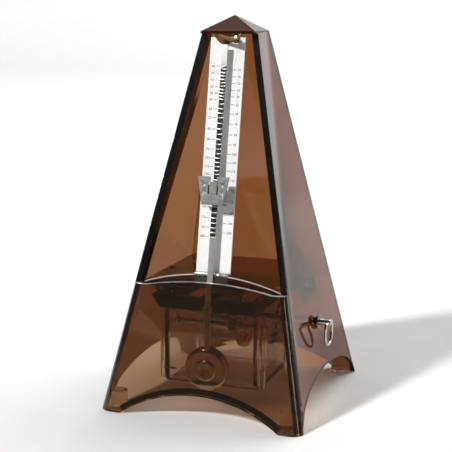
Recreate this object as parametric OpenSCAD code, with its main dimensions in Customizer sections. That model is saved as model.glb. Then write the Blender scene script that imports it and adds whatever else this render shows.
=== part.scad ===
// Pyramid metronome with a clockwork movement in a smoked transparent case.
// Origin: centre of the base, on the surface it stands on. +Z up, front faces -Y,
// the winding key is on +X. Millimetres.

/* [Case] */
// Width of the case at the base
case_w = 118; // [116:1:120]
// Depth of the case at the base
case_d = 119; // [118:1:122]
// Height of the case to its apex
case_h = 215; // [213:1:220]
// Wall thickness of the case
wall = 2.6; // [2.4:0.1:2.8]
// Radius of the case's upright corners
corner_r = 6; // [5:0.5:7]
// Height of the sill under the front opening
sill_z = 70; // [69.5:0.5:70.5]
// Rise of the arched cut-out under the front and back walls
front_arch_rise = 14.3; // [10:0.5:15]
// Rise of the arched cut-out under the side walls
side_arch_rise = 20.5; // [14:0.5:21]

/* [Pendulum] */
// Height of the pendulum pivot
pivot_z = 59; // [58.8:0.1:59.4]
// Width of the pendulum rod
rod_w = 3.2; // [3:0.1:3.4]
// Thickness of the pendulum rod
rod_t = 0.8; // [0.7:0.05:0.8]
// Radius of the bob
bob_r = 12.2; // [11:0.2:12.4]
// Height of the bob's centre
bob_z = 26; // [25.5:0.5:28]
// Height of the sliding weight's top edge above the pivot, along the rod
weight_top = 71.6; // [60:0.2:90]

/* [Movement] */
// Height of the winding arbor
wind_z = 47; // [46.8:0.1:47.2]
// Radius of the mainspring barrel
barrel_r = 14.6; // [13.5:0.1:14.8]
// Radius of the winding arbor inside the movement
arbor_r = 2.4; // [2.2:0.1:2.4]
// Radius of the winding shaft outside the movement
shaft_r = 1.75; // [1.7:0.05:1.8]

/* [Hidden] */

$fn = 64;
run = 0.05;                  // radial clearance of a running fit
lift = 0.3;                  // the case stands clear of the floor on its pads

// Case outline: half sizes shrink evenly from the base to the shoulder
shoulder_z = 0.96 * case_h;
shoulder_x = 16;
shoulder_y = 11.7;
slope_x = (case_w / 2 - shoulder_x) / shoulder_z;
slope_y = (case_d / 2 - shoulder_y) / shoulder_z;
wall_x = wall * sqrt(1 + slope_x * slope_x);
wall_y = wall * sqrt(1 + slope_y * slope_y);
rebate = 3.6;                // the front cover's seat lies this far behind the front face
rail_depth = 6.5;            // depth of the rails that flank the front opening
rail_t = 0.9;                // how far the rails stand in from the side walls
opening_top = shoulder_z - 1.4;
sill_rise = 3.5;
sill_half = 36;
foot_x = case_w / 2 - 10;
foot_y = case_d / 2 - 8;
pad_r = 4;
pad_h = 2;
post_h = 9;                  // corner posts over the pads
ledge_w = 24;
front_arch_half = 46;
side_arch_half = 54.5;

// Deck, and the arched bridge that carries the scale plate
deck_t = 1.8;
deck_screw_x = 39.2;
bridge_half = 40;
bridge_rise = 7;
bridge_r = (bridge_half * bridge_half + bridge_rise * bridge_rise) / (2 * bridge_rise);
bridge_front = -37.2;
bridge_back = -29;
bridge_back_t = 1.5;
window_half = 29;            // half width of the window under the bridge
pillar_xy = [[-30.5, -33], [-30.5, 14], [24.5, 14], [20, -37.7]];
pillar_r = 1.7;

// Leaning group: the scale plate and the rod lean back side by side
lean = 10.74;
plate_y0 = -48.69;           // where the plate's middle plane meets z = 0
plate_w = 20;
plate_t = 0.8;
plate_z0 = 77.2;
plate_z1 = 203;
rod_gap = 4.2;               // from the plate's middle plane to the rod's, square to both
rod_top_z = 198.5;

// Rod catch: its stud's place on the plate
catch_x = 6.5;
catch_z = 201;
stud_r = 0.8;

// Pivot and lower arm
pivot_y = plate_y0 + pivot_z * tan(lean) - rod_gap / cos(lean);
verge_r = 1;
verge_back = -16;
verge_bush_r = 1.8;
rivet_r = 0.9;
bob_t = 7;
bob_front = pivot_y - 5.1;

// Tempo marks: the sliding weight's height r above the pivot beats n times a minute
// where n * n * (inertia + r * r) = drive * (reach - r)
drive = 1.23e6;
reach = 156.5;
inertia = 1800;
function mark_r(n) = (sqrt(drive * drive + 4 * n * n * (drive * reach - n * n * inertia)) - drive)
    / (2 * n * n);
TEMPI = concat([for (n = [40:2:60]) n], [for (n = [63:3:72]) n], [for (n = [76:4:120]) n],
    [for (n = [126:6:144]) n], [for (n = [152:8:208]) n]);

// Movement frame
tray_z0 = 57;
tray_z1 = 64;
tray_x0 = -34;
tray_x1 = 27;
tray_y0 = -39.6;
tray_y1 = 18;
house_x = 27;
house_y0 = -38;
house_z0 = 14;
house_wall = 2.2;
side_t = 2.5;                // thickness of the walls that carry the arbors
frame_screw_xy = [[-25.6, -30], [-25.6, 10], [25.2, -30], [25.2, 10]];
side_screw_yz = [[house_y0 + house_wall / 2, 22], [house_y0 + house_wall / 2, 50],
    [tray_y1 - house_wall / 2, 27], [tray_y1 - house_wall / 2, 50]];

// Gear train: modules, then the teeth of each wheel and the leaves of each pinion
great_m = 0.5;
great_n = 72;
second_pinion_n = 12;
second_m = 0.35;
second_n = 60;
escape_pinion_n = 10;
escape_n = 15;
escape_y = -26.1;
escape_z = pivot_z;
second_dist = second_m * (second_n + escape_pinion_n) / 2;
second_y = escape_y + 1.5;
second_z = escape_z - sqrt(second_dist * second_dist - 1.5 * 1.5);
great_dist = great_m * (great_n + second_pinion_n) / 2;
wind_y = second_y + sqrt(great_dist * great_dist - pow(wind_z - second_z, 2));
great_x = 8;
great_t = 2;
second_x = 14;
second_t = 1.4;
escape_x = 3.6;              // plane of the escape wheel's tooth tips
pivot_pin_r = 0.8;

// Mainspring barrel
barrel_x0 = -12;
barrel_wall = 1.2;
spring_turns = 7;
spring_t = 0.4;

// Ratchet, on the outside of the housing
ratchet_x = 28;
ratchet_t = 2.2;
ratchet_n = 24;
ratchet_r = 8;
click_y = wind_y - 9.5;
click_z = wind_z - 8;
click_pin_r = 0.8;

// Key: a wire bail hinged through the end of the shaft
bail_x = 57;
bail_wire = 0.8;
bail_half = 6.5;
bail_corner = 2.2;
bail_side = 4;
shaft_end = 58.8;
wall_bush_r = 3;

COPPER = [0.55, 0.33, 0.22];
BRASS = [0.78, 0.62, 0.30];
STEEL = [0.66, 0.66, 0.68];
SMOKE = [0.36, 0.20, 0.12, 0.55];
BLACK = [0.07, 0.065, 0.06];

// ---- Placing helpers ---------------------------------------------------------------

// Extrudes along +X from x; a 2D point (u, v) lands on y = u, z = v
module along_x(x, len) {
    translate([x, 0, 0]) rotate([90, 0, 90]) linear_extrude(len) children();
}

// Extrudes along +Y from y; a 2D point (u, v) lands on x = u, z = v
module along_y(y, len) {
    translate([0, y + len, 0]) rotate([90, 0, 0]) linear_extrude(len) children();
}

// A round bar along X between two x values
module bar_x(x0, x1, r, y = 0, z = 0) {
    translate([x0, y, z]) rotate([0, 90, 0]) cylinder(r = r, h = x1 - x0);
}

// A round bar along Y between two y values
module bar_y(y0, y1, r, x = 0, z = 0) {
    translate([x, y1, z]) rotate([90, 0, 0]) cylinder(r = r, h = y1 - y0);
}

// Works in the scale plate's own frame: local z runs up the plate, local y = 0 is its
// middle plane, and local -y points out of its front
module on_plate() {
    translate([0, plate_y0, 0]) rotate([-lean, 0, 0]) children();
}

// Local z on the plate of a point at height z
function up_plate(z) = z / cos(lean);

// Local z on the rod of a point r above the pivot
function up_rod(r) = up_plate(pivot_z) - rod_gap * tan(lean) + r;

// ---- Case --------------------------------------------------------------------------

// One outline of the case, drawn in from its outer faces by inset
function outline(half, shoulder, slope, inset) = let (
    step = inset * sqrt(1 + slope * slope),
    roof = (case_h - shoulder_z) / shoulder,
    eave = shoulder_z - inset * 0.55)
    [[-half + step + slope * lift, lift], [half - step - slope * lift, lift],
    [half - step - slope * eave, eave],
    [0, eave + roof * (half - step - slope * eave)],
    [-half + step + slope * eave, eave]];

// Region between a sharp upright edge and its rounding, for the +X +Y corner
module corner_waste(inset) {
    r = corner_r - inset;
    n1 = [1, 0, slope_x] / sqrt(1 + slope_x * slope_x);
    n2 = [0, 1, slope_y] / sqrt(1 + slope_y * slope_y);
    edge = cross(n1, n2) / norm(cross(n1, n2));
    v = cross(edge, n1);
    turned = [n2 * n1, n2 * v];
    centre = -r * ([1, 0] + turned) / (1 + n1 * n2);
    start = [case_w / 2 - inset * wall_x / wall, case_d / 2 - inset * wall_y / wall, 0];
    multmatrix([[n1.x, v.x, edge.x, start.x], [n1.y, v.y, edge.y, start.y],
        [n1.z, v.z, edge.z, start.z], [0, 0, 0, 1]])
        translate([0, 0, -10]) linear_extrude(case_h + 30) difference() {
            polygon([centre, centre + [r, 0], centre + [r + 2, 0], [2, 2],
                centre + (r + 2) * turned, centre + r * turned]);
            translate(centre) circle(r = r, $fn = 96);
        }
}

// The case's solid outline: two gabled prisms crossed, with the upright edges rounded
module case_block(inset) {
    difference() {
        intersection() {
            along_y(-case_d, 2 * case_d)
                polygon(outline(case_w / 2, shoulder_x, slope_x, inset));
            along_x(-case_w, 2 * case_w)
                polygon(outline(case_d / 2, shoulder_y, slope_y, inset));
        }
        for (mx = [0, 1], my = [0, 1]) mirror([mx, 0, 0]) mirror([0, my, 0])
            corner_waste(inset);
    }
}

// Everything in front of the cover's seat, above the sill
module front_opening() {
    seat = function(z) -case_d / 2 + slope_y * z + rebate;
    sill_r = (sill_half * sill_half + sill_rise * sill_rise) / (2 * sill_rise);
    difference() {
        along_x(-case_w, 2 * case_w) polygon([[-case_d, sill_z], [seat(sill_z), sill_z],
            [seat(opening_top), opening_top], [-case_d, opening_top]]);
        bar_y(-case_d, 0, sill_r, z = sill_z + sill_rise - sill_r, $fn = 180);
    }
}

// Rails down both sides of the opening, where the cover's edges seat
module opening_rails() {
    z0 = sill_z + 1;
    z1 = opening_top + 1;
    for (s = [-1, 1]) intersection() {
        along_x(-case_w, 2 * case_w) polygon([for (p = [[z0, rebate], [z0, rebate + rail_depth],
            [z1, rebate + rail_depth], [z1, rebate]])
            [-case_d / 2 + slope_y * p[0] + p[1], p[0]]]);
        along_y(-case_d, 2 * case_d) polygon([for (p = [[z0, 0.8], [z0, wall_x + rail_t],
            [z1, wall_x + rail_t], [z1, 0.8]])
            [s * (case_w / 2 - slope_x * p[0] - p[1]), p[0]]]);
    }
}

module case_shell() {
    front_r = (front_arch_half * front_arch_half + front_arch_rise * front_arch_rise)
        / (2 * front_arch_rise);
    color(SMOKE) difference() {
        union() {
            difference() {
                case_block(0);
                case_block(wall);
                // Arched cut-outs through the side walls
                along_x(-case_w, 2 * case_w) polygon([for (a = [0:5:180])
                    [side_arch_half * cos(a), lift - 1 + (side_arch_rise + 1) * sin(a)]]);
            }
            opening_rails();
            // Posts in the corners, over the foot pads
            for (sx = [-1, 1], sy = [-1, 1]) translate([sx * foot_x, sy * foot_y, pad_h])
                cylinder(r = pad_r + 0.9, h = post_h);
            // Ledges on the side walls that the deck rests on
            for (s = [-1, 1]) along_y(-ledge_w / 2, ledge_w) polygon([
                [s * 37, sill_z - deck_t], [s * 37, sill_z - deck_t - 3],
                [s * 43.5, sill_z - deck_t - 10], [s * 43, sill_z - deck_t]]);
        }
        front_opening();
        // Arched cut-outs through the front and back walls
        bar_y(-case_d, case_d, front_r, z = front_arch_rise - front_r, $fn = 180);
        // Bore for the winding shaft's bush, and holes for the two deck screws
        bar_x(case_w / 4, case_w, wall_bush_r + 0.1, wind_y, wind_z);
        for (s = [-1, 1]) translate([s * deck_screw_x, 0, sill_z - deck_t - 5])
            cylinder(r = 0.9, h = 6);
    }
}

module foot_pads() {
    color(BLACK) for (sx = [-1, 1], sy = [-1, 1]) translate([sx * foot_x, sy * foot_y, 0])
        rotate_extrude() polygon([[0, 0], [pad_r - 0.6, 0], [pad_r, 0.6], [pad_r, pad_h],
            [0, pad_h]]);
}

// ---- Deck, bridge and scale plate ---------------------------------------------------

module deck_plate() {
    half_x = case_w / 2 - slope_x * (sill_z - deck_t) - wall_x - 0.8;
    back_y = case_d / 2 - slope_y * (sill_z - deck_t) - wall_y - 0.8;
    r = 4;
    color(SMOKE) difference() {
        union() {
            translate([-half_x, bridge_front, sill_z - deck_t])
                cube([2 * half_x, back_y - r - bridge_front, deck_t]);
            translate([-half_x + r, bridge_front, sill_z - deck_t])
                cube([2 * (half_x - r), back_y - bridge_front, deck_t]);
            for (s = [-1, 1]) translate([s * (half_x - r), back_y - r, sill_z - deck_t])
                cylinder(r = r, h = deck_t);
            // Arched bridge with a closed back
            difference() {
                intersection() {
                    bar_y(bridge_front, bridge_back, bridge_r,
                        z = sill_z + bridge_rise - bridge_r, $fn = 180);
                    translate([-bridge_half, bridge_front, sill_z - deck_t])
                        cube([2 * bridge_half, bridge_back - bridge_front, 20]);
                }
                bar_y(bridge_front - 1, bridge_back - bridge_back_t, bridge_r - deck_t,
                    z = sill_z + bridge_rise - bridge_r, $fn = 180);
            }
        }
        // Window under the bridge, and screw holes
        translate([-window_half, bridge_front - 1, sill_z - 5])
            cube([2 * window_half, bridge_back - bridge_front - bridge_back_t,
                5 + bridge_rise - deck_t - 3.6]);
        for (p = pillar_xy) if (p[1] > bridge_back)
            translate([p[0], p[1], sill_z - 5]) cylinder(r = 0.95, h = 8);
        for (s = [-1, 1]) translate([s * deck_screw_x, 0, sill_z - 5]) cylinder(r = 0.95, h = 8);
    }
}

module cheese_screw(head_r, head_h, shank_r, shank_len) {
    difference() {
        union() {
            cylinder(r = head_r, h = head_h);
            translate([0, 0, -shank_len]) cylinder(r = shank_r, h = shank_len);
        }
        translate([-head_r, -0.25, head_h * 0.55]) cube([2 * head_r, 0.5, head_h]);
    }
}

// Two screws into the case's ledges and two into the tray's rear pillars
module deck_screws() {
    color(STEEL) for (p = [[-deck_screw_x, 0], [deck_screw_x, 0], pillar_xy[1], pillar_xy[2]])
        translate([p[0], p[1], sill_z]) cheese_screw(1.7, 1.1, 0.85, 5.5);
}

module scale_plate() {
    color("white") on_plate() difference() {
        translate([-plate_w / 2, -plate_t / 2, up_plate(plate_z0)])
            cube([plate_w, plate_t, up_plate(plate_z1 - plate_z0)]);
        // Bore for the catch's stud
        translate([catch_x, 0, up_plate(catch_z)]) rotate([90, 0, 0])
            cylinder(r = stud_r, h = 2 * plate_t, center = true);
    }
}

// Printed lines beside the rod, one at each tempo, set alternately left and right
module scale_marks() {
    line_t = 0.05;
    color(BLACK) on_plate() for (i = [0:len(TEMPI) - 1]) {
        side = i % 2 == 0 ? -1 : 1;
        translate([side * 4.9 - 1.1, -plate_t / 2 - line_t, up_rod(mark_r(TEMPI[i])) - 0.12])
            cube([2.2, line_t, 0.24]);
    }
}

// Clear clip over the bridge's front edge, in two lobes that leave the rod its gap
module plate_foot() {
    back = function(z) plate_y0 + z * tan(lean) - (plate_t / 2 + 0.02) / cos(lean);
    front = function(z) pivot_y + (z - pivot_z) * tan(lean) + rod_t / 2 + 0.45;
    z0 = sill_z + 3.3;
    z1 = plate_z0 + 0.8;
    bridge_top = sill_z + bridge_rise;
    lobe_w = 7.4;
    color(SMOKE) for (s = [-1, 1]) along_x(s * 5.9 - lobe_w / 2, lobe_w) polygon([
        [front(z0) + 0.2, z0], [front(z0 + 1), z0 + 1], [front(z1 - 1), z1 - 1],
        [front(z1) + 0.5, z1], [back(z1), z1], [back(bridge_top + 0.3), bridge_top + 0.3],
        [bridge_front - 0.05, bridge_top + 0.3], [bridge_front - 0.05, z0]]);
}

// Half-round tab under the cap that keeps the plate's top end back
module top_retainer() {
    tab_r = 6.6;
    color(SMOKE) difference() {
        on_plate() translate([-1, -plate_t / 2 - 0.05, up_plate(205.6)]) rotate([90, 0, 0])
            cylinder(r = tab_r, h = 1.2);
        translate([-10, -20, opening_top - 0.02]) cube([20, 20, 10]);
    }
}

// ---- Rod catch ---------------------------------------------------------------------

catch_y = -rod_gap - rod_t / 2 - 0.4;   // back face of the catch's arm, in the plate's frame

// Swinging hook, turned up clear of the rod's end
module rod_catch() {
    arm_t = 0.7;
    reach_x = -9.6;
    rise = 2;
    color(BRASS) on_plate() translate([catch_x, catch_y, up_plate(catch_z)]) difference() {
        union() {
            rotate([90, 0, 0]) linear_extrude(arm_t) {
                circle(r = 1.9);
                polygon([[0.5, 1.7], [0.5, -1.7], [-4, -0.6], [reach_x - 0.8, rise - 0.9],
                    [reach_x - 0.8, rise + 0.9], [-4, 1.2]]);
                polygon([[-1.6, 0.6], [1.6, -0.2], [3.4, 2.9], [2.4, 3.5]]);
            }
            // Finger that turns down beside the rod to hold it
            translate([reach_x - 0.6, -arm_t, rise - 0.6]) cube([1.2, arm_t + 1.7, 1.2]);
        }
        rotate([90, 0, 0]) cylinder(r = stud_r + run, h = 4, center = true);
    }
}

module catch_stud() {
    color(STEEL) on_plate() translate([catch_x, 0, up_plate(catch_z)]) rotate([90, 0, 0]) {
        translate([0, 0, -plate_t / 2]) cylinder(r = stud_r, h = rod_gap + 2.4);
        translate([0, 0, plate_t / 2]) cylinder(r = 1.4, h = -catch_y - plate_t / 2 - 0.05);
        translate([0, 0, -catch_y + 0.75]) cylinder(r = 1.4, h = 0.7);
    }
}

// ---- Movement frame ----------------------------------------------------------------

module movement_tray() {
    h = tray_z1 - tray_z0;
    in_x0 = -24;
    in_x1 = 23;
    color(BLACK) difference() {
        // Ring, with its left end cut back below
        along_y(tray_y0, tray_y1 - tray_y0) polygon([[tray_x0, tray_z1], [tray_x0 + 5, tray_z0],
            [tray_x1, tray_z0], [tray_x1, tray_z1]]);
        difference() {
            translate([in_x0, tray_y0 + 3.6, tray_z0 - 1])
                cube([in_x1 - in_x0, tray_y1 - tray_y0 - 7.2, h + 2]);
            // Arm that holds the verge's rear bush
            translate([-10, tray_y0 + 3, tray_z0]) cube([5, verge_back - 0.2 - tray_y0 - 3, 4.5]);
            translate([-10, verge_back - 2.5, tray_z0]) cube([12.6, 2.3, 4.5]);
            // Arm that holds the escape arbor's inner end
            translate([10.9, tray_y0 + 3, tray_z0]) cube([1.8, escape_y + 2.6 - tray_y0 - 3, 4.5]);
        }
        bar_y(tray_y0 - 1, tray_y0 + 5, verge_bush_r, z = pivot_z);
        bar_y(verge_back - 4, verge_back + 1, verge_bush_r, z = pivot_z);
        bar_x(10, 13.5, pivot_pin_r + run, escape_y, escape_z);
        bar_x(in_x1 - 1, in_x1 + 2.5, pivot_pin_r + run, escape_y, escape_z);
        for (p = pillar_xy) translate([p[0], p[1], tray_z1 - 4]) cylinder(r = 0.85, h = 5);
        for (p = frame_screw_xy) translate([p[0], p[1], tray_z0 - 1])
            cylinder(r = 0.95, h = h + 2);
    }
}

module tray_pillars() {
    color(STEEL) for (i = [0:3]) translate([pillar_xy[i][0], pillar_xy[i][1], 0]) {
        translate([0, 0, tray_z1 - 3.5]) cylinder(r = 0.84, h = 3.5);
        translate([0, 0, tray_z1]) difference() {
            cylinder(r = i == 3 ? 1.2 : pillar_r, h = sill_z - deck_t - tray_z1);
            translate([0, 0, 0.4]) cylinder(r = 0.86, h = 10);
        }
    }
}

house_chamfer = 7;

// Side view of the housing, up to its top
function housing_side(top) = [[house_y0, house_z0 + 3], [house_y0 + 3, house_z0],
    [tray_y1 - house_chamfer, house_z0], [tray_y1, house_z0 + house_chamfer],
    [tray_y1, top], [house_y0, top]];

// Open-topped box: front, back, floor and the right wall, all in one moulding
module movement_housing() {
    in_y0 = house_y0 + house_wall;
    in_y1 = tray_y1 - house_wall;
    in_z0 = house_z0 + house_wall;
    color(SMOKE) difference() {
        along_x(-house_x + side_t, 2 * house_x - side_t) polygon(housing_side(tray_z0));
        along_x(-house_x, 2 * house_x - side_t) polygon([[in_y0, house_z0 + 4],
            [house_y0 + 4, in_z0], [tray_y1 - house_chamfer, in_z0],
            [in_y1, house_z0 + house_chamfer + 1], [in_y1, tray_z0 + 1], [in_y0, tray_z0 + 1]]);
        bar_x(house_x - side_t - 1, house_x + 1, arbor_r + run, wind_y, wind_z);
        bar_x(house_x - side_t - 1, house_x + 1, pivot_pin_r + run, second_y, second_z);
        bar_x(house_x - side_t - 1, house_x + 1, click_pin_r, click_y, click_z);
        for (p = frame_screw_xy) if (p[0] > 0)
            translate([p[0], p[1], tray_z0 - 5]) cylinder(r = 0.85, h = 6);
        for (p = side_screw_yz)
            bar_x(-house_x + side_t - 1, -house_x + side_t + 4, 0.5, p[0], p[1]);
    }
}

module housing_side_plate() {
    color(SMOKE) difference() {
        along_x(-house_x, side_t - 0.05) polygon(housing_side(tray_z0 - 0.05));
        bar_x(-house_x - 1, -house_x + side_t + 1, arbor_r + run, wind_y, wind_z);
        bar_x(-house_x - 1, -house_x + side_t + 1, pivot_pin_r + run, second_y, second_z);
        for (p = frame_screw_xy) if (p[0] < 0)
            translate([p[0], p[1], tray_z0 - 5]) cylinder(r = 0.85, h = 6);
        for (p = side_screw_yz)
            bar_x(-house_x - 1, -house_x + side_t + 1, 0.6, p[0], p[1]);
    }
}

// Four screws down through the tray and four into the side plate
module housing_screws() {
    color(STEEL) {
        for (p = frame_screw_xy) translate([p[0], p[1], tray_z1])
            cheese_screw(1.6, 1, 0.84, 11.5);
        for (p = side_screw_yz) translate([-house_x, p[0], p[1]]) rotate([0, -90, 0])
            cheese_screw(1.05, 0.7, 0.49, 6);
    }
}

// ---- Pendulum ----------------------------------------------------------------------

module verge_bushes() {
    color(BRASS) for (y = [tray_y0, verge_back - 2.5]) {
        len = y == tray_y0 ? 3.6 : 2.3;
        difference() {
            bar_y(y, y + len, verge_bush_r, z = pivot_z);
            bar_y(y - 1, y + len + 1, verge_r + run, z = pivot_z);
        }
    }
}

module verge_arbor() {
    color(STEEL) bar_y(pivot_y - rod_t / 2 - 0.3, verge_back + 0.4, verge_r, z = pivot_z);
}

// Two flags on the verge that meet opposite teeth of the escape wheel in turn
module verge_pallets() {
    flag = 2.7;
    spread = 42;
    for (s = [-1, 1]) translate([0, escape_y + 6 * s, pivot_z]) color(STEEL) difference() {
        union() {
            bar_y(-1.4, 1.4, 1.7);
            rotate([0, s * spread, 0]) translate([1, -1.1, -0.3]) cube([flag - 1, 2.2, 0.6]);
        }
        bar_y(-2, 2, verge_r);
    }
}

module rod_hub() {
    color(BRASS) difference() {
        bar_y(pivot_y + rod_t / 2, tray_y0 - 0.4, 2.8, z = pivot_z);
        bar_y(pivot_y - 1, tray_y0, verge_r, z = pivot_z);
        // Seat for the leaning rod
        on_plate() translate([-rod_w / 2 - 0.01, -rod_gap - rod_t / 2, up_rod(-1)])
            cube([rod_w + 0.02, rod_t + 0.01, 8]);
    }
}

module pendulum_rod() {
    top = up_plate(rod_top_z) - up_rod(0);
    groove = 0.25;
    color(STEEL) difference() {
        union() {
            on_plate() translate([-rod_w / 2, -rod_gap - rod_t / 2, up_rod(0)])
                cube([rod_w, rod_t, top]);
            bar_y(pivot_y - rod_t / 2, pivot_y + rod_t / 2, rod_w / 2 + 1.2, z = pivot_z);
            translate([-rod_w / 2, pivot_y - rod_t / 2, bob_z - 5])
                cube([rod_w, rod_t, pivot_z - bob_z + 5]);
        }
        // One groove across the front at each tempo
        on_plate() for (n = TEMPI) translate([-rod_w, -rod_gap - rod_t, up_rod(mark_r(n)) - 0.3])
            cube([2 * rod_w, rod_t / 2 + groove, 0.6]);
        bar_y(pivot_y - 2, pivot_y + 2, verge_r, z = pivot_z);
        bar_y(pivot_y - 2, pivot_y + 2, rivet_r, z = bob_z);
    }
}

// Turned disc with stepped rings on its face and a slot at the back for the arm
module pendulum_bob() {
    arm_slot = rod_w + 0.02;
    color(COPPER) difference() {
        translate([0, bob_front + bob_t, bob_z]) rotate([90, 0, 0]) rotate_extrude($fn = 128)
            polygon([[0, 0], [bob_r - 0.8, 0], [bob_r, 0.8], [bob_r, bob_t - 2.2],
                [bob_r - 0.9, bob_t - 1.2], [bob_r - 2.2, bob_t - 0.9], [6.1, bob_t - 0.9],
                [5.6, bob_t - 0.3], [5.0, bob_t], [3.4, bob_t], [2.9, bob_t - 0.6],
                [0, bob_t - 0.6]]);
        translate([-arm_slot / 2, pivot_y - rod_t / 2 - 0.01, bob_z - 6])
            cube([arm_slot, 10, bob_r + 12]);
        bar_y(bob_front - 1, bob_front + bob_t + 1, rivet_r, z = bob_z);
    }
}

module bob_rivet() {
    color(STEEL) {
        bar_y(bob_front + 0.5, pivot_y + rod_t / 2, rivet_r, z = bob_z);
        bar_y(pivot_y + rod_t / 2, pivot_y + rod_t / 2 + 0.7, 1.5, z = bob_z);
    }
}

// ---- Sliding weight ----------------------------------------------------------------

weight_len = 14.6;
weight_front = -rod_gap - 4.6;
weight_t = 0.7;

// Works from the weight's lower end, up the rod
module on_weight() {
    on_plate() translate([0, 0, up_rod(weight_top) - weight_len]) children();
}

// Sheet-metal face with a spring tongue, a sighting notch and a folded foot
module weight_plate() {
    low = 6.2;
    high = 9;
    color(STEEL) on_weight() {
        difference() {
            translate([0, weight_front + weight_t, 0]) rotate([90, 0, 0]) linear_extrude(weight_t)
                polygon([[-low, 0], [low, 0], [high, weight_len], [-high, weight_len]]);
            translate([-1.8, weight_front - 1, weight_len - 2.8]) cube([3.6, 3, 4]);
            for (s = [-1, 1]) translate([s * 2.5 - 0.35, weight_front - 1, 5]) cube([0.7, 3, 6.8]);
            // Pressed dimples
            for (s = [-1, 1], z = [6.4, 10.4]) translate([s * 5.2, weight_front - 0.4, z])
                sphere(r = 0.8, $fn = 32);
        }
        // Folded foot with a slot for the rod
        difference() {
            translate([-low, weight_front, -weight_t]) cube([2 * low, 5.9, weight_t]);
            translate([-rod_w / 2 - 0.4, -rod_gap - rod_t / 2 - 0.4, -2])
                cube([rod_w + 0.8, 5, 4]);
        }
    }
}

// Block behind the face that runs on the rod
module weight_guide() {
    gap = 0.35;
    block_w = rod_w + 2 * gap + 2.8;
    color(STEEL) on_weight() difference() {
        translate([-block_w / 2, weight_front + weight_t, 2]) cube([block_w, 5.3, 8]);
        translate([-rod_w / 2 - gap, -rod_gap - rod_t / 2 - gap, 0])
            cube([rod_w + 2 * gap, rod_t + 2 * gap, 16]);
        // Pocket for the leaf spring
        translate([-1.5, weight_front + weight_t - 0.01, 2.8]) cube([3, 2.8, 6.4]);
    }
}

// Bowed leaf that presses into the rod's grooves
module weight_spring() {
    bow = 0.8;
    front = weight_front + weight_t + 0.3;
    color(STEEL) on_weight() along_x(-1.2, 2.4) polygon(concat(
        [for (i = [0:12]) [front + bow * sin(i * 15), 3 + i * 0.5]],
        [for (i = [12:-1:0]) [front + bow * sin(i * 15) + 0.25, 3 + i * 0.5]]));
}

// ---- Winding and mainspring --------------------------------------------------------

module winding_arbor() {
    color(STEEL) difference() {
        union() {
            bar_x(-house_x, ratchet_x, arbor_r, wind_y, wind_z);
            bar_x(ratchet_x, shaft_end - 2.4, shaft_r, wind_y, wind_z);
            // Rounded eye for the bail
            translate([bail_x, wind_y, wind_z]) sphere(r = shaft_r);
        }
        bar_y(wind_y - 5, wind_y + 5, bail_wire + 0.06, bail_x, wind_z);
    }
}

module spring_barrel() {
    color(BRASS) difference() {
        bar_x(barrel_x0, great_x, barrel_r, wind_y, wind_z);
        bar_x(barrel_x0 + barrel_wall, great_x + 1, barrel_r - barrel_wall, wind_y, wind_z);
        bar_x(barrel_x0 - 1, great_x, arbor_r + run, wind_y, wind_z);
    }
}

// Lid between the drum and the great wheel
module barrel_cover() {
    color(BRASS) difference() {
        bar_x(great_x - 1, great_x, barrel_r - barrel_wall - 0.02, wind_y, wind_z);
        bar_x(great_x - 2, great_x + 1, arbor_r + run, wind_y, wind_z);
    }
}

module mainspring() {
    r0 = arbor_r + 0.6;
    r1 = barrel_r - barrel_wall - 0.5;
    steps = 20 * spring_turns;
    radius = function(i) r0 + (r1 - r0) * i / steps;
    color([0.35, 0.38, 0.45]) translate([0, wind_y, wind_z])
        along_x(barrel_x0 + barrel_wall + 0.6, great_x - barrel_x0 - barrel_wall - 2.4)
        polygon(concat([for (i = [0:steps]) radius(i) * [cos(18 * i), sin(18 * i)]],
            [for (i = [steps:-1:0]) (radius(i) + spring_t) * [cos(18 * i), sin(18 * i)]]));
}

// ---- Gear train --------------------------------------------------------------------

// Outline of a spur gear; its first tooth points along turn degrees
module gear_2d(m, n, turn = 0) {
    root = m * (n / 2 - 1.1);
    pitch = m * n / 2;
    tip = m * (n / 2 + 0.8);
    half = 360 / n * 0.205;
    polygon([for (i = [0:n - 1], p = [[root, -1.55], [pitch, -1], [tip, -0.45], [tip, 0.45],
        [pitch, 1], [root, 1.55]])
        let (a = turn + 360 * i / n + half * p[1]) p[0] * [cos(a), sin(a)]]);
}

// Spokes: n openings between a hub and a rim
module spoke_holes(n, hub_r, rim_r) {
    for (i = [0:n - 1]) rotate(360 * i / n) difference() {
        intersection() {
            circle(r = rim_r);
            polygon([[0, 0], 2 * rim_r * [cos(180 / n), sin(180 / n)],
                2 * rim_r * [1, 0], 2 * rim_r * [cos(180 / n), -sin(180 / n)]]);
        }
        circle(r = hub_r);
        rotate(180 / n) translate([0, -0.9]) square([2 * rim_r, 1.8]);
        rotate(-180 / n) translate([0, -0.9]) square([2 * rim_r, 1.8]);
    }
}

to_second = atan2(second_z - wind_z, second_y - wind_y);
to_escape = atan2(escape_z - second_z, escape_y - second_y);

module great_wheel() {
    color(BRASS) difference() {
        translate([0, wind_y, wind_z]) along_x(great_x, great_t) gear_2d(great_m, great_n, to_second);
        bar_x(great_x - 1, great_x + great_t + 1, arbor_r + run, wind_y, wind_z);
        translate([0, wind_y, wind_z]) along_x(great_x + 1, great_t) difference() {
            circle(r = 15.5);
            circle(r = 5);
        }
    }
}

module second_pinion() {
    color(STEEL) {
        bar_x(-house_x + 0.2, house_x - 0.2, pivot_pin_r, second_y, second_z);
        difference() {
            bar_x(-house_x + side_t + 0.3, house_x - side_t - 0.3, 1.3, second_y, second_z);
            bar_x(-house_x, house_x, pivot_pin_r, second_y, second_z);
        }
        translate([0, second_y, second_z]) along_x(great_x - 1.5, 5) difference() {
            gear_2d(great_m, second_pinion_n, to_second + 180 + 180 / second_pinion_n);
            circle(r = 1.3);
        }
    }
}

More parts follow.
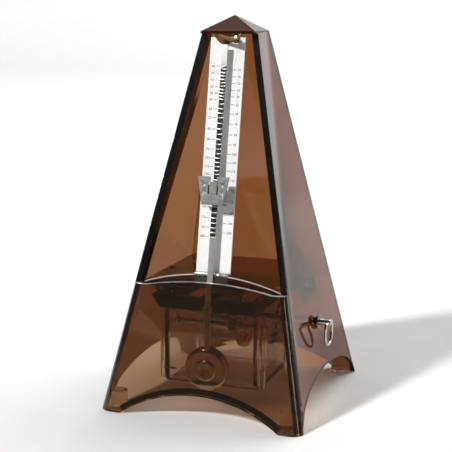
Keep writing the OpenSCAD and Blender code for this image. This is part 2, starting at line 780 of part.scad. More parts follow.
module second_wheel() {
    color(BRASS) translate([0, second_y, second_z]) along_x(second_x, second_t) difference() {
        gear_2d(second_m, second_n, to_escape);
        circle(r = 1.3);
        spoke_holes(5, 3.2, 8.6);
    }
}

module escape_pinion() {
    turn = to_escape + 180 + 180 / escape_pinion_n;
    color(STEEL) {
        bar_x(escape_x + 2, house_x - 2, pivot_pin_r, escape_y, escape_z);
        translate([0, escape_y, escape_z]) along_x(second_x - 0.8, 3) difference() {
            gear_2d(second_m, escape_pinion_n, turn);
            circle(r = pivot_pin_r);
        }
    }
}

// Crown wheel: pointed teeth stand towards the verge
module escape_wheel() {
    rim_r = 6.7;
    rim_t = 1;
    disc_x = escape_x + 3;
    color(BRASS) translate([0, escape_y, escape_z]) difference() {
        union() {
            bar_x(escape_x, disc_x + 1, rim_r);
            bar_x(disc_x, disc_x + 3, 1.9);
        }
        bar_x(escape_x - 1, disc_x, rim_r - rim_t);
        bar_x(disc_x - 1, disc_x + 4, pivot_pin_r);
        along_x(disc_x - 1, 3) spoke_holes(3, 2.4, 5.2);
        // Gaps between the teeth, steep on one side
        for (i = [0:escape_n - 1]) rotate([360 * i / escape_n, 0, 0])
            along_y(3, rim_r) polygon([[escape_x - 0.5, -1.15], [escape_x - 0.5, 1.15],
                [disc_x - 1, 1], [disc_x - 1, -0.2]]);
    }
}

// ---- Ratchet -----------------------------------------------------------------------

module ratchet_wheel() {
    color(STEEL) translate([0, wind_y, wind_z]) along_x(ratchet_x, ratchet_t) difference() {
        polygon([for (i = [0:ratchet_n - 1], p = [[ratchet_r, 0], [ratchet_r - 1.2, 2]])
            let (a = 360 * i / ratchet_n + p[1]) p[0] * [cos(a), sin(a)]]);
        circle(r = shaft_r);
    }
}

// Pawl: a round boss with a tail for the spring and a nose for the teeth, which it
// stands just clear of
module ratchet_click() {
    boss = function(a) 1.9 * [cos(a), sin(a)];
    color(STEEL) translate([0, click_y, click_z]) along_x(ratchet_x + 0.2, 1.6) difference() {
        polygon(concat([for (a = [45:15:195]) boss(a)], [[-2.2, -3.4], [-1.2, -3.8]],
            [for (a = [255:15:330]) boss(a)], [[3.4, 1.6], [3, 2.2]]));
        circle(r = click_pin_r + run);
    }
}

module click_screw() {
    color(STEEL) {
        bar_x(house_x - 1.5, ratchet_x + 1.9, click_pin_r, click_y, click_z);
        bar_x(ratchet_x + 1.9, ratchet_x + 2.7, 1.5, click_y, click_z);
        difference() {
            bar_x(house_x, ratchet_x + 0.15, 1.5, click_y, click_z);
            bar_x(house_x - 1, ratchet_x + 1, click_pin_r, click_y, click_z);
        }
    }
}

// Wire spring behind the click's tail
module click_spring() {
    post_y = click_y - 6;
    color(STEEL) translate([0, post_y, click_z - 2]) {
        bar_x(house_x, ratchet_x + 1.4, 1.1);
        along_x(ratchet_x + 0.6, 0.5) polygon([[0.9, -0.4], [3.1, -1.9], [3.3, -1.5], [0.9, 0.2]]);
    }
}

// ---- Key ---------------------------------------------------------------------------

module wall_bush() {
    wall_face = case_w / 2 - slope_x * wind_z;
    color(STEEL) difference() {
        union() {
            bar_x(wall_face - wall_x - 1.6, wall_face + 1.1, wall_bush_r, wind_y, wind_z);
            bar_x(wall_face + 1.1, wall_face + 2.3, 4, wind_y, wind_z);
        }
        bar_x(0, case_w, shaft_r + run, wind_y, wind_z);
    }
}

// Wire bail: a hinge bar through the shaft, rounded shoulders, and a half-round grip
module key_bail() {
    bar_half = bail_half - bail_corner;
    color(STEEL) translate([bail_x, wind_y, wind_z]) {
        bar_y(-bar_half, bar_half, bail_wire);
        for (s = [-1, 1]) {
            translate([0, s * bar_half, -bail_corner]) intersection() {
                rotate([0, 90, 0]) rotate_extrude() translate([bail_corner, 0]) circle(r = bail_wire);
                translate([-2, s > 0 ? 0 : -4, 0]) cube([4, 4, 4]);
            }
            translate([0, s * bail_half, -bail_corner - bail_side])
                cylinder(r = bail_wire, h = bail_side);
        }
        translate([0, 0, -bail_corner - bail_side]) intersection() {
            rotate([0, 90, 0]) rotate_extrude() translate([bail_half, 0]) circle(r = bail_wire);
            translate([-2, -10, -10]) cube([4, 20, 10]);
        }
    }
}

case_shell();
foot_pads();
deck_plate();
deck_screws();
scale_plate();
scale_marks();
plate_foot();
top_retainer();
rod_catch();
catch_stud();
movement_tray();
tray_pillars();
movement_housing();
housing_side_plate();
housing_screws();
verge_bushes();
verge_arbor();
verge_pallets();
rod_hub();
pendulum_rod();
pendulum_bob();
bob_rivet();
weight_plate();
weight_guide();
weight_spring();
winding_arbor();
spring_barrel();
barrel_cover();
mainspring();
great_wheel();
second_pinion();
second_wheel();
escape_pinion();
escape_wheel();
ratchet_wheel();
ratchet_click();
click_screw();
click_spring();
wall_bush();
key_bail();
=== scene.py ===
"""Looks of the pyramid metronome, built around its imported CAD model."""

import math

import bmesh
import bpy
from mathutils import Matrix, Vector


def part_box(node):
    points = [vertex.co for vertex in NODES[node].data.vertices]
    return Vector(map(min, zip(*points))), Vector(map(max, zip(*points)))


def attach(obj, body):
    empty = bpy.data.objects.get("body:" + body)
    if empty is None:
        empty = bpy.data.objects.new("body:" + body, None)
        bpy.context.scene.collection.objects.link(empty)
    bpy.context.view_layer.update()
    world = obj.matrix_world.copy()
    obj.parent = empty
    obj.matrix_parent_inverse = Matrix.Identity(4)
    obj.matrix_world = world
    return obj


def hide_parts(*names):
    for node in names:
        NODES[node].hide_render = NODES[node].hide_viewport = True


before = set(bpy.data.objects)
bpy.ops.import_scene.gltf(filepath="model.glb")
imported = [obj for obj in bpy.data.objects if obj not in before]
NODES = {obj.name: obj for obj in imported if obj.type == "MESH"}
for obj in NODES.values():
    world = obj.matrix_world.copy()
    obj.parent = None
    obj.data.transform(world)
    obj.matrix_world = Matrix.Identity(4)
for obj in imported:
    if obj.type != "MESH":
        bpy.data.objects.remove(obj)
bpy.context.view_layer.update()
MM = 0.001


# ---- Camera ------------------------------------------------------------------------


def add_camera():
    """A long lens from the front right, a little above the object."""
    dip = 0.194
    turn = 0.36
    data = bpy.data.cameras.new("camera")
    data.sensor_width = 36.0
    data.lens = 87.53
    data.shift_x = -0.0015
    data.shift_y = -0.0058
    data.clip_start = 0.05
    data.clip_end = 50.0
    camera = bpy.data.objects.new("camera", data)
    camera.location = (0.2113, -0.5746, 0.2189)
    camera.rotation_euler = (math.pi / 2 - dip, 0.0, turn)
    bpy.context.scene.collection.objects.link(camera)
    bpy.context.scene.camera = camera


# ---- Materials ---------------------------------------------------------------------


class Nodes:
    """A material's node tree, with short calls that add nodes and link them."""

    def __init__(self, name):
        self.material = bpy.data.materials.new(name)
        self.material.use_nodes = True
        self.tree = self.material.node_tree
        self.tree.nodes.clear()
        self.output = self.tree.nodes.new("ShaderNodeOutputMaterial")
        self.place = None

    def add(self, kind, **values):
        node = self.tree.nodes.new(kind)
        for key, value in values.items():
            setattr(node, key, value)
        return node

    def link(self, out_socket, in_socket):
        self.tree.links.new(out_socket, in_socket)

    def coords(self, stretch=(1.0, 1.0, 1.0)):
        """Object coordinates, in millimetres, stretched along the axes."""
        if self.place is None:
            self.place = self.add("ShaderNodeTexCoord")
        mapping = self.add("ShaderNodeMapping")
        mapping.inputs["Scale"].default_value = [s / MM for s in stretch]
        self.link(self.place.outputs["Object"], mapping.inputs["Vector"])
        return mapping.outputs["Vector"]

    def noise(self, scale, detail=3.0, stretch=(1.0, 1.0, 1.0)):
        """Noise with about scale waves to the millimetre."""
        node = self.add("ShaderNodeTexNoise")
        node.inputs["Scale"].default_value = scale
        node.inputs["Detail"].default_value = detail
        self.link(self.coords(stretch), node.inputs["Vector"])
        return node.outputs["Fac"]

    def spread(self, value, low, high, start=0.3, end=0.7, curve="LINEAR"):
        """Maps a value that runs from start to end to a range from low to high."""
        node = self.add("ShaderNodeMapRange", interpolation_type=curve)
        node.inputs["From Min"].default_value = start
        node.inputs["From Max"].default_value = end
        node.inputs["To Min"].default_value = low
        node.inputs["To Max"].default_value = high
        self.link(value, node.inputs["Value"])
        return node.outputs["Result"]

    def ramp(self, value, low_colour, high_colour):
        """Blends two colours by a value."""
        node = self.add("ShaderNodeValToRGB")
        ends = node.color_ramp.elements
        ends[0].position = 0.35
        ends[1].position = 0.65
        ends[0].color = (*low_colour, 1.0)
        ends[1].color = (*high_colour, 1.0)
        self.link(value, node.inputs["Fac"])
        return node.outputs["Color"]

    def blend(self, share, low_colour, high_socket):
        """Blends from a colour to the colour of a socket by a share."""
        node = self.add("ShaderNodeMix", data_type="RGBA")
        low, high = [socket for socket in node.inputs if socket.type == "RGBA"]
        low.default_value = (*low_colour, 1.0)
        self.link(share, node.inputs["Factor"])
        self.link(high_socket, high)
        return next(socket for socket in node.outputs if socket.type == "RGBA")

    def bump(self, height, depth, shader):
        """Bump of a depth in millimetres."""
        node = self.add("ShaderNodeBump")
        node.inputs["Strength"].default_value = 1.0
        node.inputs["Distance"].default_value = depth * MM
        self.link(height, node.inputs["Height"])
        self.link(node.outputs["Normal"], shader.inputs["Normal"])

    def principled(self, **values):
        shader = self.add("ShaderNodeBsdfPrincipled")
        for key, value in values.items():
            shader.inputs[key.replace("_", " ")].default_value = value
        return shader

    def finish(self, shader, volume=None):
        self.link(shader.outputs[0], self.output.inputs["Surface"])
        if volume is not None:
            self.link(volume.outputs[0], self.output.inputs["Volume"])
        return self.material


def see_through(
    name, tint, density, body, body_share, roughness=0.03, lamp_share=0.38, ior=1.49
):
    """Tinted see-through plastic: it darkens with depth, has a little colour of its own in
    its body, and lets a share of the lamps' light shine through."""
    n = Nodes(name)
    shader = n.principled(
        Base_Color=(*body, 1.0), IOR=ior, Transmission_Weight=1.0 - body_share
    )
    waves = n.noise(0.03, detail=1.0)
    smears = n.spread(n.noise(0.15), roughness * 0.6, roughness * 1.6)
    n.link(smears, shader.inputs["Roughness"])
    n.bump(waves, 0.004, shader)
    lamp = n.add("ShaderNodeBsdfTransparent")
    lamp.inputs["Color"].default_value = (lamp_share, lamp_share, lamp_share, 1.0)
    path = n.add("ShaderNodeLightPath")
    mix = n.add("ShaderNodeMixShader")
    n.link(path.outputs["Is Shadow Ray"], mix.inputs["Fac"])
    n.link(shader.outputs[0], mix.inputs[1])
    n.link(lamp.outputs[0], mix.inputs[2])
    depth = n.add("ShaderNodeVolumeAbsorption")
    depth.inputs["Color"].default_value = (*tint, 1.0)
    depth.inputs["Density"].default_value = density
    return n.finish(mix, depth)


def moulded(name, colour, light, roughness, grain=4.0, depth=0.002):
    """Opaque moulded plastic, rubber or paint with a fine grain."""
    n = Nodes(name)
    shader = n.principled(IOR=1.49)
    n.link(n.ramp(n.noise(0.12), colour, light), shader.inputs["Base Color"])
    wear = n.spread(n.noise(0.4), roughness * 0.8, roughness * 1.2)
    n.link(wear, shader.inputs["Roughness"])
    n.bump(n.noise(grain, detail=2.0), depth, shader)
    return n.finish(shader)


def metal(name, colour, light, roughness, stretch=(1.0, 1.0, 1.0), depth=0.001):
    """Metal with faint tool marks drawn out along one axis, and slight tarnish."""
    n = Nodes(name)
    shader = n.principled(Metallic=1.0)
    n.link(n.ramp(n.noise(0.25), colour, light), shader.inputs["Base Color"])
    marks = n.noise(1.2, stretch=stretch)
    n.link(n.spread(marks, roughness * 0.85, roughness * 1.2), shader.inputs["Roughness"])
    n.bump(n.noise(3.0, detail=2.0, stretch=stretch), depth, shader)
    return n.finish(shader)


SMOKE_TINT = (0.525, 0.243, 0.02)
SMOKE_DENSITY = 345.0
CLEAR_TINT = (0.6, 0.45, 0.3)

# Tint and density (per metre) of the depth, colour and share of the body
SEE_THROUGH = {
    "smoked_plastic": dict(
        tint=SMOKE_TINT, density=SMOKE_DENSITY, body=(0.345, 0.155, 0.062), body_share=0.04
    ),
    # smoked_front, smoked_side, smoked_left and smoked_cap are copies of smoked_plastic, set lighter or
    # darker face by face: painted light and shade.
    "smoked_front": dict(
        tint=SMOKE_TINT, density=SMOKE_DENSITY, body=(0.6, 0.47, 0.34), body_share=0.015
    ),
    "smoked_side": dict(
        tint=SMOKE_TINT,
        density=SMOKE_DENSITY * 0.8,
        body=(0.72, 0.32, 0.08),
        body_share=0.03,
        ior=1.3,
    ),
    "smoked_left": dict(
        tint=SMOKE_TINT, density=SMOKE_DENSITY * 0.8, body=(0.5, 0.3, 0.17), body_share=0.04
    ),
    "dark_smoked": dict(
        tint=SMOKE_TINT,
        density=SMOKE_DENSITY * 1.3,
        body=(0.5, 0.3, 0.2),
        body_share=0.02,
        roughness=0.12,
    ),
    "smoked_cap": dict(
        tint=(0.4, 0.1, 0.02), density=SMOKE_DENSITY, body=(0.42, 0.1, 0.03), body_share=0.09
    ),
    # A pale, half-opaque body that paints a highlight line on the edges it covers.
    "polished_edge": dict(
        tint=CLEAR_TINT, density=80.0, body=(0.75, 0.69, 0.65), body_share=0.6, roughness=0.15
    ),
    "clip_plastic": dict(
        tint=(0.3, 0.27, 0.24),
        density=420.0,
        body=(0.45, 0.43, 0.41),
        body_share=0.06,
        roughness=0.06,
    ),
    "clear_plastic": dict(
        tint=CLEAR_TINT, density=12.0, body=(0.99, 0.98, 0.97), body_share=0.01, lamp_share=0.93
    ),
    "foot_clear": dict(
        tint=CLEAR_TINT,
        density=0.0,
        body=(0.95, 0.94, 0.93),
        body_share=0.08,
        roughness=0.1,
        lamp_share=0.93,
        ior=1.25,
    ),
    "post_plastic": dict(
        tint=CLEAR_TINT, density=0.0, body=(0.8, 0.62, 0.45), body_share=0.05, ior=1.2
    ),
}

# Darker and lighter shade, roughness
MOULDED = {
    "edge_black": dict(
        colour=(0.003, 0.003, 0.003), light=(0.006, 0.006, 0.006), roughness=0.14, grain=0.5, depth=0.001
    ),
    "rod_black": dict(
        colour=(0.012, 0.012, 0.012), light=(0.02, 0.02, 0.02), roughness=0.3, grain=1.5
    ),
    "black_plastic": dict(
        colour=(0.004, 0.0035, 0.003), light=(0.007, 0.006, 0.005), roughness=0.4, grain=1.0, depth=0.001
    ),
    "white_enamel": dict(
        colour=(0.86, 0.855, 0.84), light=(0.885, 0.88, 0.865), roughness=0.3, grain=1.0, depth=0.001
    ),
    "print_black": dict(colour=(0.07, 0.07, 0.075), light=(0.1, 0.1, 0.105), roughness=0.5),
}

METAL = {
    "dark_chrome": dict(colour=(0.1, 0.09, 0.085), light=(0.15, 0.14, 0.13), roughness=0.1),
    "steel": dict(colour=(0.5, 0.5, 0.51), light=(0.62, 0.62, 0.62), roughness=0.25),
    "polished_steel": dict(colour=(0.42, 0.4, 0.39), light=(0.55, 0.53, 0.52), roughness=0.07),
    "rod_steel": dict(
        colour=(0.5, 0.5, 0.49),
        light=(0.56, 0.56, 0.55),
        roughness=0.34,
        stretch=(2.0, 2.0, 0.1),
        depth=0.0004,
    ),
    "weight_steel": dict(
        colour=(0.3, 0.3, 0.295),
        light=(0.35, 0.35, 0.345),
        roughness=0.36,
        stretch=(0.2, 2.0, 2.0),
        depth=0.0004,
    ),
    "spring_steel": dict(colour=(0.3, 0.33, 0.4), light=(0.42, 0.45, 0.52), roughness=0.22),
    "bob_bronze": dict(colour=(0.66, 0.56, 0.46), light=(0.74, 0.64, 0.54), roughness=0.17),
    "brass": dict(colour=(0.72, 0.55, 0.3), light=(0.82, 0.65, 0.38), roughness=0.22),
    # The same brass with painted shade, darker, for the catch and its stud.
    "dark_brass": dict(colour=(0.34, 0.24, 0.12), light=(0.44, 0.32, 0.17), roughness=0.2),
}


def make_materials():
    made = {}
    for maker, table in ((see_through, SEE_THROUGH), (moulded, MOULDED), (metal, METAL)):
        for name, values in table.items():
            made[name] = maker(name, **values)
    return made


# ---- Mesh helpers ------------------------------------------------------------------


def mesh_object(name, verts, faces):
    """An object from points in millimetres, with its faces turned outwards."""
    mesh = bpy.data.meshes.new(name)
    mesh.from_pydata([Vector(v) * MM for v in verts], [], faces)
    mesh.validate()
    obj = bpy.data.objects.new(name, mesh)
    bpy.context.scene.collection.objects.link(obj)
    work = bmesh.new()
    work.from_mesh(mesh)
    bmesh.ops.recalc_face_normals(work, faces=work.faces)
    work.to_mesh(mesh)
    work.free()
    return obj


def side_faces(count, start=0):
    """Faces between a ring of count points and the next ring."""
    faces = []
    for i in range(count):
        j = (i + 1) % count
        faces.append([start + i, start + j, start + count + j, start + count + i])
    return faces


def sweep(name, sections):
    """A closed bar through sections that have the same number of points."""
    count = len(sections[0])
    verts = [point for section in sections for point in section]
    last = len(verts) - count
    faces = [list(range(count)), list(range(len(verts) - 1, last - 1, -1))]
    for start in range(0, last, count):
        faces += side_faces(count, start)
    return mesh_object(name, verts, faces)


def prism(name, outline, axis, start, end):
    """A closed prism: outline holds (u, v) points, which run along the two other axes."""
    place = {
        "x": lambda u, v, w: (w, u, v),
        "y": lambda u, v, w: (u, w, v),
        "z": lambda u, v, w: (u, v, w),
    }[axis]
    return sweep(name, [[place(u, v, w) for u, v in outline] for w in (start, end)])


def circle(radius, count, u=0.0, v=0.0):
    turn = 2 * math.pi / count
    return [(u + radius * math.cos(turn * i), v + radius * math.sin(turn * i)) for i in range(count)]


def arc_radius(half, rise):
    """Radius of the arc that rises by rise over a chord of twice half."""
    return (half * half + rise * rise) / (2 * rise)


def arc_height(u, half, rise):
    """Height of that arc above its chord, at a distance u from the middle."""
    radius = arc_radius(half, rise)
    return rise - radius + math.sqrt(radius * radius - u * u)


def cut(obj, tool, how="DIFFERENCE"):
    """Applies an exact boolean and removes its tool."""
    modifier = obj.modifiers.new("cut", "BOOLEAN")
    modifier.operation = how
    modifier.solver = "EXACT"
    modifier.object = tool
    graph = bpy.context.evaluated_depsgraph_get()
    mesh = bpy.data.meshes.new_from_object(obj.evaluated_get(graph))
    obj.modifiers.clear()
    obj.data = mesh
    bpy.data.objects.remove(tool)


def soften(obj, width, segments=2, angle=35.0, weld=False):
    """Rounds the sharp edges and shades the rest by face area."""
    if weld:
        merge = obj.modifiers.new("weld", "WELD")
        merge.merge_threshold = 0.002 * MM
    if width > 0:
        bevel = obj.modifiers.new("bevel", "BEVEL")
        bevel.width = width * MM
        bevel.segments = segments
        bevel.limit_method = "ANGLE"
        bevel.angle_limit = math.radians(angle)
        bevel.use_clamp_overlap = True
        bevel.harden_normals = False
    for face in obj.data.polygons:
        face.use_smooth = True
    shade = obj.modifiers.new("shade", "WEIGHTED_NORMAL")
    shade.keep_sharp = True
    shade.weight = 100


def paint(obj, material):
    obj.data.materials.clear()
    obj.data.materials.append(material)


# ---- Case --------------------------------------------------------------------------


CASE_LOW, CASE_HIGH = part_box("case_shell")
HALF_X = CASE_HIGH.x / MM
HALF_Y = CASE_HIGH.y / MM
BASE_Z = CASE_LOW.z / MM
APEX_Z = CASE_HIGH.z / MM
WALL = 2.6
CAP_WALL = 0.55 * WALL
SHOULDER_Z = 0.96 * APEX_Z
SHOULDER_X = 16.0
SHOULDER_Y = 11.7
SLOPE_X = (HALF_X - SHOULDER_X) / (SHOULDER_Z - BASE_Z)
SLOPE_Y = (HALF_Y - SHOULDER_Y) / (SHOULDER_Z - BASE_Z)
CORNER_LOW = 7.5
CORNER_HIGH = 1.2
CORNER_STEPS = 10
FRONT_ARCH_HALF = 46.0
FRONT_ARCH_RISE = 14.3
SIDE_ARCH_HALF = 54.5
SIDE_ARCH_TOP = 20.8
SIDE_ARCH_LOW = -0.7
SILL_Z = 70.0
SILL_RISE = 3.5
SILL_HALF = 36.0
REBATE = 3.6
RAIL_DEPTH = 6.5
RAIL_T = 0.9
OPENING_TOP = SHOULDER_Z - 1.4
LEDGE_HALF_Y = 12.0
LEDGE_OUTLINE = [(37.0, 68.2), (37.0, 65.2), (43.5, 58.2), (43.9, 68.2)]
BUSH_BORE = 3.1
POST_R = 4.7
POST_TOP = 11.0
POST_INSET = 4.0
FAR = 100.0
SHELL_MATERIALS = [
    "smoked_plastic",
    "smoked_front",
    "smoked_cap",
    "smoked_side",
    "smoked_left",
    "polished_edge",
]


def half_x(z):
    return HALF_X - SLOPE_X * (z - BASE_Z)


def half_y(z):
    return HALF_Y - SLOPE_Y * (z - BASE_Z)


def inner_x(z, depth=WALL):
    """Half width inside the side walls, which are depth thick across their slope."""
    return half_x(z) - depth * math.hypot(1, SLOPE_X)


def inner_y(z, depth=WALL):
    return half_y(z) - depth * math.hypot(1, SLOPE_Y)


def corner_radius(z):
    share = (z - BASE_Z) / (SHOULDER_Z - BASE_Z)
    return CORNER_LOW + (CORNER_HIGH - CORNER_LOW) * share


def case_ring(z, inset):
    """The case's rounded outline at a height, drawn in from the outer faces."""
    full = corner_radius(z)
    radius = max(full - inset, 0.3 * full)
    x = inner_x(z, inset) - radius
    y = inner_y(z, inset) - radius
    ring = []
    for quarter, (sx, sy) in enumerate([(1, 1), (-1, 1), (-1, -1), (1, -1)]):
        for i in range(CORNER_STEPS + 1):
            a = math.pi / 2 * (quarter + i / CORNER_STEPS)
            ring.append((sx * x + radius * math.cos(a), sy * y + radius * math.sin(a), z))
    return ring


def case_solid(name, inset, low, eave):
    """The case's outline as a solid, from low up to the eave and on to its peaked top."""
    rings = [case_ring(low, inset), case_ring(eave, inset)]
    count = len(rings[0])
    roof = (APEX_Z - SHOULDER_Z) / SHOULDER_X
    peak = (0, 0, eave + roof * inner_x(eave, inset))
    faces = [list(range(count - 1, -1, -1)), *side_faces(count)]
    # Four roof faces: each takes in half of the corner on either side of it
    middle = CORNER_STEPS // 2
    per_corner = CORNER_STEPS + 1
    for side in range(4):
        start = side * per_corner + middle
        span = [count + (start + k) % count for k in range(per_corner + 1)]
        faces.append([*span, 2 * count])
    return mesh_object(name, [*rings[0], *rings[1], peak], faces)


def arch(half, height, steps=64):
    """Outline of an arched cut-out with a height at each place, closed below the base."""
    places = [half * math.cos(math.pi * i / steps) for i in range(steps + 1)]
    below = min(height(half), 0.0) - 20
    return [*((u, height(u)) for u in places), (-half, below), (half, below)]


def front_arch_height(u):
    return arc_height(u, FRONT_ARCH_HALF, FRONT_ARCH_RISE)


def side_arch_height(u):
    rise = SIDE_ARCH_TOP - SIDE_ARCH_LOW
    return SIDE_ARCH_LOW + rise * math.sqrt(1 - (u / SIDE_ARCH_HALF) ** 2)


def front_cutter():
    """Everything in front of the cover's seat, above the arched sill."""
    seat_low = SILL_Z - 2
    seat = [(-half_y(z) + REBATE, z) for z in (seat_low, OPENING_TOP)]
    wedge = prism("wedge", [(-FAR, seat_low), *seat, (-FAR, OPENING_TOP)], "x", -FAR, FAR)
    steps = 48
    places = [SILL_HALF * math.cos(math.pi * i / steps) for i in range(steps + 1)]
    hump = [(u, SILL_Z + arc_height(u, SILL_HALF, SILL_RISE)) for u in places]
    wide = 1.2 * FAR
    keep_low = SILL_Z - 10
    keep = [(wide, keep_low), (wide, SILL_Z), *hump, (-wide, SILL_Z), (-wide, keep_low)]
    cut(wedge, prism("sill", keep, "y", -1.5 * FAR, 0.5 * FAR))
    return wedge


def case_rail(side):
    """The dark rail down one side of the opening that the cover's edge seats on."""
    overlap = 0.15
    sections = []
    for z in (SILL_Z + 1, OPENING_TOP + 0.8):
        front = -half_y(z) + REBATE
        outer = inner_x(z) + overlap
        inner = inner_x(z) - RAIL_T
        corners = [
            (outer, front),
            (inner, front),
            (inner, front + RAIL_DEPTH),
            (outer, front + RAIL_DEPTH),
        ]
        sections.append([(side * x, y, z) for x, y in corners])
    return sweep("rail", sections)


def build_case(materials):
    shell = case_solid("case_body", 0.0, BASE_Z, SHOULDER_Z)
    cut(shell, case_solid("inner", WALL, BASE_Z - 5, SHOULDER_Z - CAP_WALL))
    cut(shell, prism("front_arch", arch(FRONT_ARCH_HALF, front_arch_height), "y", -FAR, FAR))
    cut(shell, prism("side_arch", arch(SIDE_ARCH_HALF, side_arch_height), "x", -FAR, FAR))
    for side in (-1, 1):
        cut(shell, case_rail(side), "UNION")
        ledge = [(side * x, z) for x, z in LEDGE_OUTLINE]
        cut(shell, prism("ledge", ledge, "y", -LEDGE_HALF_Y, LEDGE_HALF_Y), "UNION")
    cut(shell, front_cutter())
    bush_low, bush_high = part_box("wall_bush")
    bush = (bush_low + bush_high) / 2 / MM
    cut(shell, prism("bore", circle(BUSH_BORE, 48, bush.y, bush.z), "x", 0.2 * FAR, 0.8 * FAR))
    shell.data.materials.clear()
    for name in SHELL_MATERIALS:
        shell.data.materials.append(materials[name])
    for face in shell.data.polygons:
        face.material_index = SHELL_MATERIALS.index(shell_material(face))
    soften(shell, 0.45, segments=3, angle=30.0)
    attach(shell, "case")
    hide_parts("case_shell")
    return shell


def shell_material(face):
    """Copies of one smoked plastic, lighter or darker face by face as painted light and shade:
    the front panel, the sides and the sill's edge let more light through than the back wall,
    and the cap less. The sill's edge has a pale body that paints a highlight line."""
    centre = face.center / MM
    front = -half_y(centre.z)
    on_sill = SILL_Z - 1 < centre.z < SILL_Z + SILL_RISE + 0.5
    # The sill's top faces get a painted highlight.
    if face.normal.z > 0.9 and on_sill and centre.y < front + REBATE + 0.2:
        return "polished_edge"
    if centre.z > SHOULDER_Z + 0.5:
        return "smoked_cap"
    if centre.z < SILL_Z + 2 and centre.y < front + WALL + 0.5:
        return "smoked_front"
    if abs(face.normal.x) > 0.9:
        return "smoked_side" if centre.x > 0 else "smoked_left"
    return "smoked_plastic"


def build_corner_posts(materials):
    """The short posts in the corners that the foot pads are fixed under."""
    pads_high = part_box("foot_pads")[1] / MM
    reach_x = pads_high.x - POST_INSET
    reach_y = pads_high.y - POST_INSET
    for side, x in (("left", -reach_x), ("right", reach_x)):
        for end, y in (("front", -reach_y), ("rear", reach_y)):
            ring = circle(POST_R, 40, x, y)
            post = prism(f"corner_post_{side}_{end}", ring, "z", pads_high.z + 0.05, POST_TOP)
            paint(post, materials["post_plastic"])
            soften(post, 0.5, segments=3)
            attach(post, "case")


def build_edge_trim(materials):
    """Black trim over the case's cut edges and down the rails beside the opening."""
    cover = 0.12
    lap = 0.02
    edge_gap = 0.25
    for label, side in (("left", -1), ("right", 1)):
        sections = []
        for z in (SILL_Z + 0.4, OPENING_TOP - 0.05):
            front = -half_y(z) + REBATE
            rounding = max(0.0, corner_radius(z) - REBATE) * 0.35
            outer = half_x(z) - edge_gap - rounding
            inner = inner_x(z) - RAIL_T
            corners = [
                (outer, front - cover),
                (inner - cover, front - cover),
                (inner - cover, front + RAIL_DEPTH + cover),
                (inner + lap, front + RAIL_DEPTH + cover),
                (inner + lap, front + lap),
                (outer, front + lap),
            ]
            sections.append([(side * x, y, z) for x, y in corners])
        trim = sweep(f"edge_trim_{label}", sections)
        paint(trim, materials["edge_black"])
        soften(trim, 0.05, segments=2)
        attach(trim, "case")


def build_arch_rim(materials):
    """Dark bead along the inside of the front arch, painted shade that keeps a glint off the arch's
    edge.
    """
    height = 3.0
    depth = 0.9
    gap = 0.15
    steps = 72
    radius = arc_radius(FRONT_ARCH_HALF, FRONT_ARCH_RISE)
    middle = FRONT_ARCH_RISE - radius
    reach = math.asin((FRONT_ARCH_HALF - 0.8) / radius)
    sections = []
    for i in range(steps + 1):
        a = reach * (2 * i / steps - 1)
        section = []
        for r, depths in ((radius + gap, (0, depth)), (radius + height, (depth, 0))):
            x = r * math.sin(a)
            z = middle + r * math.cos(a)
            section += [(x, -inner_y(z) + 0.02 + y, z) for y in depths]
        sections.append(section)
    rim = sweep("arch_rim", sections)
    paint(rim, materials["edge_black"])
    soften(rim, 0.2, segments=2)
    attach(rim, "case")


def build_bridge_rim(materials):
    """Bead along the top edge of the deck's arched bridge, in a pale material that paints a highlight
    line.
    """
    half = 40.0
    rise = 7.0
    bead = 0.38
    sink = 0.1
    inset = 0.15
    steps = 64
    low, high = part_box("deck_plate")
    radius = arc_radius(half, rise)
    middle = high.z / MM - radius
    reach = math.asin(half / radius)
    sections = []
    for i in range(steps + 1):
        a = reach * (2 * i / steps - 1)
        section = []
        for out, across in circle(bead, 8, radius - sink, low.y / MM + inset):
            section.append((out * math.sin(a), across, middle + out * math.cos(a)))
        sections.append(section)
    rim = sweep("bridge_rim", sections)
    paint(rim, materials["polished_edge"])
    soften(rim, 0.0)
    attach(rim, "case")


def build_housing_columns(materials):
    """Screw columns down the outside of the movement housing."""
    radius = 1.9
    bore = 0.9
    bore_depth = 12.0
    gap = 0.1
    inset = 3.5
    low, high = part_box("movement_housing")
    low, high = low / MM, high / MM
    side_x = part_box("housing_side_plate")[0].x / MM
    for side, x in (("left", side_x - radius - gap), ("right", high.x + radius + gap)):
        for end, y in (("front", low.y + inset), ("rear", high.y - inset)):
            ring = circle(radius, 28, x, y)
            column = prism(f"housing_column_{side}_{end}", ring, "z", low.z + 1.5, high.z - gap)
            cut(column, prism("hole", circle(bore, 20, x, y), "z", low.z, low.z + bore_depth))
            paint(column, materials["clear_plastic"])
            soften(column, 0.35, segments=3)
            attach(column, "case")


def build_arbor_bushes(materials):
    """Bright flanged bushes where the second arbor runs through the housing's walls."""
    radius = 3.2
    bore = 1.5
    length = 1.4
    gap = 0.05
    low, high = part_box("second_wheel")
    axis = (low + high) / 2 / MM
    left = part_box("housing_side_plate")[1].x / MM + gap
    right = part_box("movement_housing")[1].x / MM + gap
    for label, start in (("left", left), ("right", right)):
        ring = circle(radius, 40, axis.y, axis.z)
        bush = prism(f"arbor_bush_{label}", ring, "x", start, start + length)
        cut(bush, prism("hole", circle(bore, 24, axis.y, axis.z), "x", start - 1, start + 3))
        paint(bush, materials["steel"])
        soften(bush, 0.5, segments=4)
        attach(bush, "case")


# ---- Scale numbers -----------------------------------------------------------------


TEMPI = [
    *range(40, 60, 2),
    *range(60, 72, 3),
    *range(72, 120, 4),
    *range(120, 144, 6),
    *range(144, 209, 8),
]
NUMBER_SIZE = 1.9
NUMBER_X = 7.7
NUMBER_T = 0.012


